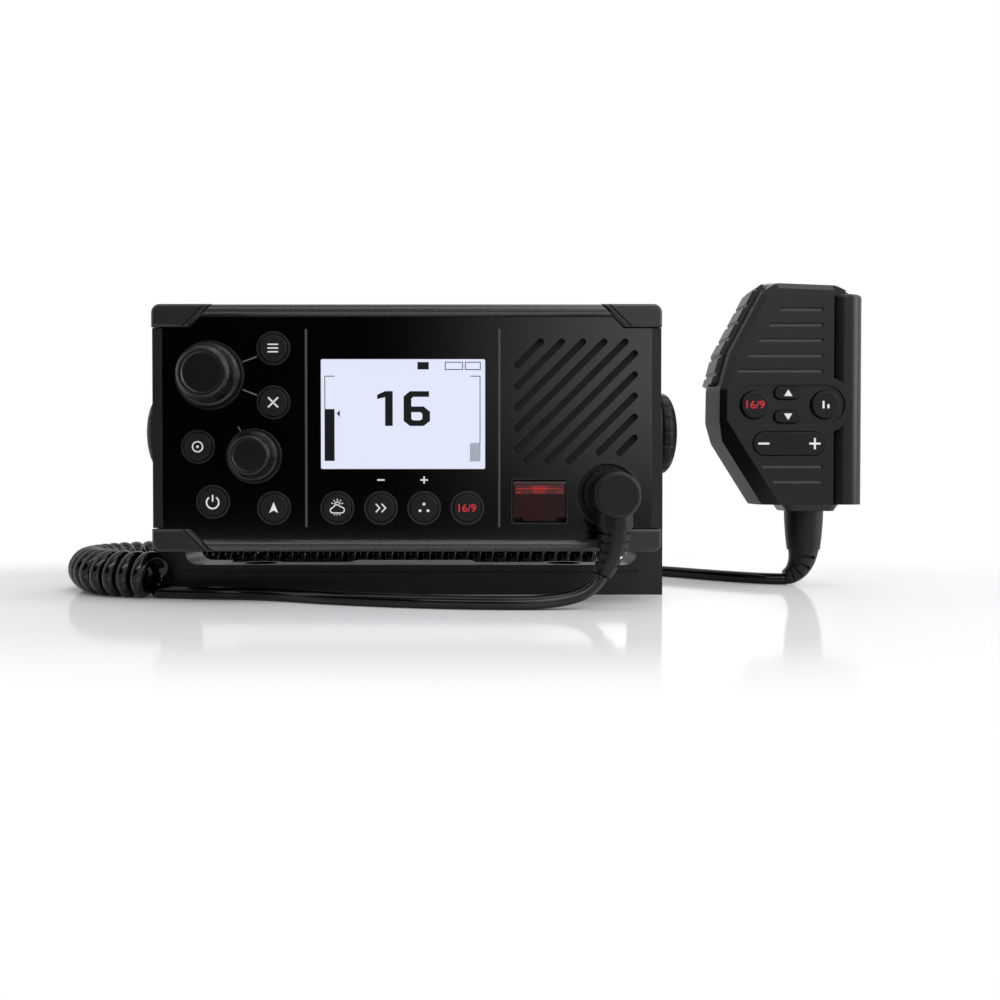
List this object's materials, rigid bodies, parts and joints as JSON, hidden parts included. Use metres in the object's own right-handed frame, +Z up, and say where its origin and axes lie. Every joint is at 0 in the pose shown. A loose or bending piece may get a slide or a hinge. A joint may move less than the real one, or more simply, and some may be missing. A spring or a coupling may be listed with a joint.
{
  "type": "vhf marine radio",
  "caption": "Fixed-mount marine radio tilting in a gimbal bracket, with display, keys, two rotary knobs, slotted speaker, covered distress key, curly cord and hand microphone.",
  "frame": {"origin": "midway between the bracket's two screw holes, on the surface that the bracket stands on", "axes": "+X to the viewer's right as one faces the radio, the front faces -Y, +Z up"},
  "size_m": [0.3434, 0.1696, 0.1336],
  "materials": {
    "case_plastic": "fine satin texture",
    "trim_plastic": "satin",
    "gloss_face": "polished",
    "key_rubber": "satin",
    "knob_plastic": "satin",
    "light_grey": "satin",
    "window": "clear",
    "lcd": "lit display",
    "red_cover": "tinted",
    "red_button": "satin",
    "circuit_board": "solder mask",
    "chassis_metal": "black powder coat on die-cast aluminium",
    "steel": "plain",
    "brass": "plain",
    "black_rubber": "satin",
    "cord_rubber": "sheen",
    "speaker_metal": "steel basket and magnet",
    "screen_cloth": "dark speaker cloth"
  },
  "bodies": {
    "bracket": {"mounting_bracket": "case_plastic", "floor_cord": "cord_rubber", "coiled_cord": "cord_rubber", "rear_cord": "cord_rubber"},
    "left_gimbal_knob": {"left_gimbal_knob": "knob_plastic"},
    "right_gimbal_knob": {"right_gimbal_knob": "knob_plastic"},
    "channel_push": {"channel_push_cup": "knob_plastic"},
    "channel_knob": {"channel_knob": "knob_plastic"},
    "volume_push": {"volume_push_cup": "knob_plastic"},
    "volume_knob": {"volume_knob": "knob_plastic"},
    "distress_cover": {"distress_cover": "red_cover"},
    "distress_button": {"distress_button": "red_button"},
    "plug_ring": {"plug_ring": "black_rubber"},
    "talk_key": {"talk_key": "key_rubber"},
    "mic_volume_rocker": {"mic_volume_rocker": "key_rubber"},
    "menu_key": {"menu_key": "key_rubber"},
    "cancel_key": {"cancel_key": "key_rubber"},
    "info_key": {"info_key": "key_rubber"},
    "power_key": {"power_key": "key_rubber"},
    "mark_key": {"mark_key": "key_rubber"},
    "weather_key": {"weather_key": "key_rubber"},
    "scan_key": {"scan_key": "key_rubber"},
    "watch_key": {"watch_key": "key_rubber"},
    "call_channel_key": {"call_channel_key": "key_rubber"},
    "mic_call_key": {"mic_call_key": "key_rubber"},
    "mic_power_level_key": {"mic_power_level_key": "key_rubber"},
    "mic_up_key": {"mic_up_key": "key_rubber"},
    "mic_down_key": {"mic_down_key": "key_rubber"},
    "mic": {"mic_front_case": "case_plastic", "mic_rear_case": "case_plastic", "mic_collar": "case_plastic", "mic_boot": "black_rubber", "mic_board": "circuit_board", "mic_screws": "steel", "mic_hanger_stud": "knob_plastic"},
    "radio": {"cable_glands": "black_rubber", "case_gasket": "black_rubber", "case_screws": "steel", "chassis": "chassis_metal", "cord_lead": "cord_rubber", "corner_caps": "trim_plastic", "display_window": "window", "distress_frame": "case_plastic", "divider_bars": "light_grey", "face_panel": "gloss_face", "front_board": "circuit_board", "front_case": "case_plastic", "grille_screen": "screen_cloth", "keypad_mat": "black_rubber", "lcd_module": "lcd", "main_board": "circuit_board", "mic_socket": "case_plastic", "panel_rings": "trim_plastic", "pivot_inserts": "brass", "pivot_washers": "black_rubber", "plug_body": "black_rubber", "plug_boot": "black_rubber", "rear_sockets": "steel", "speaker": "speaker_metal", "trim_bars": "trim_plastic"}
  },
  "joints": [
    {"name": "gimbal_tilt", "type": "hinge", "parent": "bracket", "child": "radio", "pos_m": [0, 0.007, 0.0661], "axis": [-1, 0, 0], "range_deg": [-6, 20]},
    {"name": "left_gimbal_knob_turn", "type": "hinge", "parent": "radio", "child": "left_gimbal_knob", "pos_m": [-0.105, 0.007, 0.0661], "axis": [-1, 0, 0], "continuous": true},
    {"name": "right_gimbal_knob_turn", "type": "hinge", "parent": "radio", "child": "right_gimbal_knob", "pos_m": [0.105, 0.007, 0.0661], "axis": [1, 0, 0], "continuous": true},
    {"name": "channel_knob_press", "type": "slide", "parent": "radio", "child": "channel_push", "axis": [0, 1, 0], "range_m": [0, 0.0006], "stiffness_N_per_m": 800},
    {"name": "channel_knob_turn", "type": "hinge", "parent": "channel_push", "child": "channel_knob", "pos_m": [-0.0743, -0.045, 0.086], "axis": [0, -1, 0], "continuous": true},
    {"name": "volume_knob_press", "type": "slide", "parent": "radio", "child": "volume_push", "axis": [0, 1, 0], "range_m": [0, 0.0006], "stiffness_N_per_m": 800},
    {"name": "volume_knob_turn", "type": "hinge", "parent": "volume_push", "child": "volume_knob", "pos_m": [-0.0576, -0.045, 0.0556], "axis": [0, -1, 0], "continuous": true},
    {"name": "menu_key_press", "type": "slide", "parent": "radio", "child": "menu_key", "axis": [0, 1, 0], "range_m": [0, 0.0008], "stiffness_N_per_m": 400},
    {"name": "cancel_key_press", "type": "slide", "parent": "radio", "child": "cancel_key", "axis": [0, 1, 0], "range_m": [0, 0.0008], "stiffness_N_per_m": 400},
    {"name": "info_key_press", "type": "slide", "parent": "radio", "child": "info_key", "axis": [0, 1, 0], "range_m": [0, 0.0008], "stiffness_N_per_m": 400},
    {"name": "power_key_press", "type": "slide", "parent": "radio", "child": "power_key", "axis": [0, 1, 0], "range_m": [0, 0.0008], "stiffness_N_per_m": 400},
    {"name": "mark_key_press", "type": "slide", "parent": "radio", "child": "mark_key", "axis": [0, 1, 0], "range_m": [0, 0.0008], "stiffness_N_per_m": 400},
    {"name": "weather_key_press", "type": "slide", "parent": "radio", "child": "weather_key", "axis": [0, 1, 0], "range_m": [0, 0.0008], "stiffness_N_per_m": 400},
    {"name": "scan_key_press", "type": "slide", "parent": "radio", "child": "scan_key", "axis": [0, 1, 0], "range_m": [0, 0.0008], "stiffness_N_per_m": 400},
    {"name": "watch_key_press", "type": "slide", "parent": "radio", "child": "watch_key", "axis": [0, 1, 0], "range_m": [0, 0.0008], "stiffness_N_per_m": 400},
    {"name": "call_channel_key_press", "type": "slide", "parent": "radio", "child": "call_channel_key", "axis": [0, 1, 0], "range_m": [0, 0.0008], "stiffness_N_per_m": 400},
    {"name": "distress_cover_lift", "type": "hinge", "parent": "radio", "child": "distress_cover", "pos_m": [0.05005, -0.04105, 0.04515], "axis": [-1, 0, 0], "range_deg": [0, 100], "stiffness_Nm_per_rad": 0.002, "springref_deg": -11.46},
    {"name": "distress_button_press", "type": "slide", "parent": "radio", "child": "distress_button", "axis": [0, 1, 0], "range_m": [0, 0.001], "stiffness_N_per_m": 400},
    {"name": "plug_ring_turn", "type": "hinge", "parent": "radio", "child": "plug_ring", "pos_m": [0.0759, -0.045, 0.0413], "axis": [0, -1, 0], "continuous": true},
    {"name": "mic_lift", "type": "slide", "parent": "bracket", "child": "mic", "axis": [0, 0, 1], "range_m": [0, 0.08]},
    {"name": "talk_key_press", "type": "slide", "parent": "mic", "child": "talk_key", "axis": [0.8923, 0, -0.4514], "range_m": [0, 0.0018], "stiffness_N_per_m": 600},
    {"name": "mic_call_key_press", "type": "slide", "parent": "mic", "child": "mic_call_key", "axis": [0, 1, 0], "range_m": [0, 0.0008], "stiffness_N_per_m": 400},
    {"name": "mic_power_level_key_press", "type": "slide", "parent": "mic", "child": "mic_power_level_key", "axis": [0, 1, 0], "range_m": [0, 0.0008], "stiffness_N_per_m": 400},
    {"name": "mic_up_key_press", "type": "slide", "parent": "mic", "child": "mic_up_key", "axis": [0, 1, 0], "range_m": [0, 0.0008], "stiffness_N_per_m": 400},
    {"name": "mic_down_key_press", "type": "slide", "parent": "mic", "child": "mic_down_key", "axis": [0, 1, 0], "range_m": [0, 0.0008], "stiffness_N_per_m": 400},
    {"name": "mic_volume_rock", "type": "hinge", "parent": "mic", "child": "mic_volume_rocker", "pos_m": [0.1603, 0.0148, 0.0621], "axis": [0, 0, 1], "range_deg": [-2.5, 2.5], "stiffness_Nm_per_rad": 0.05}
  ]
}
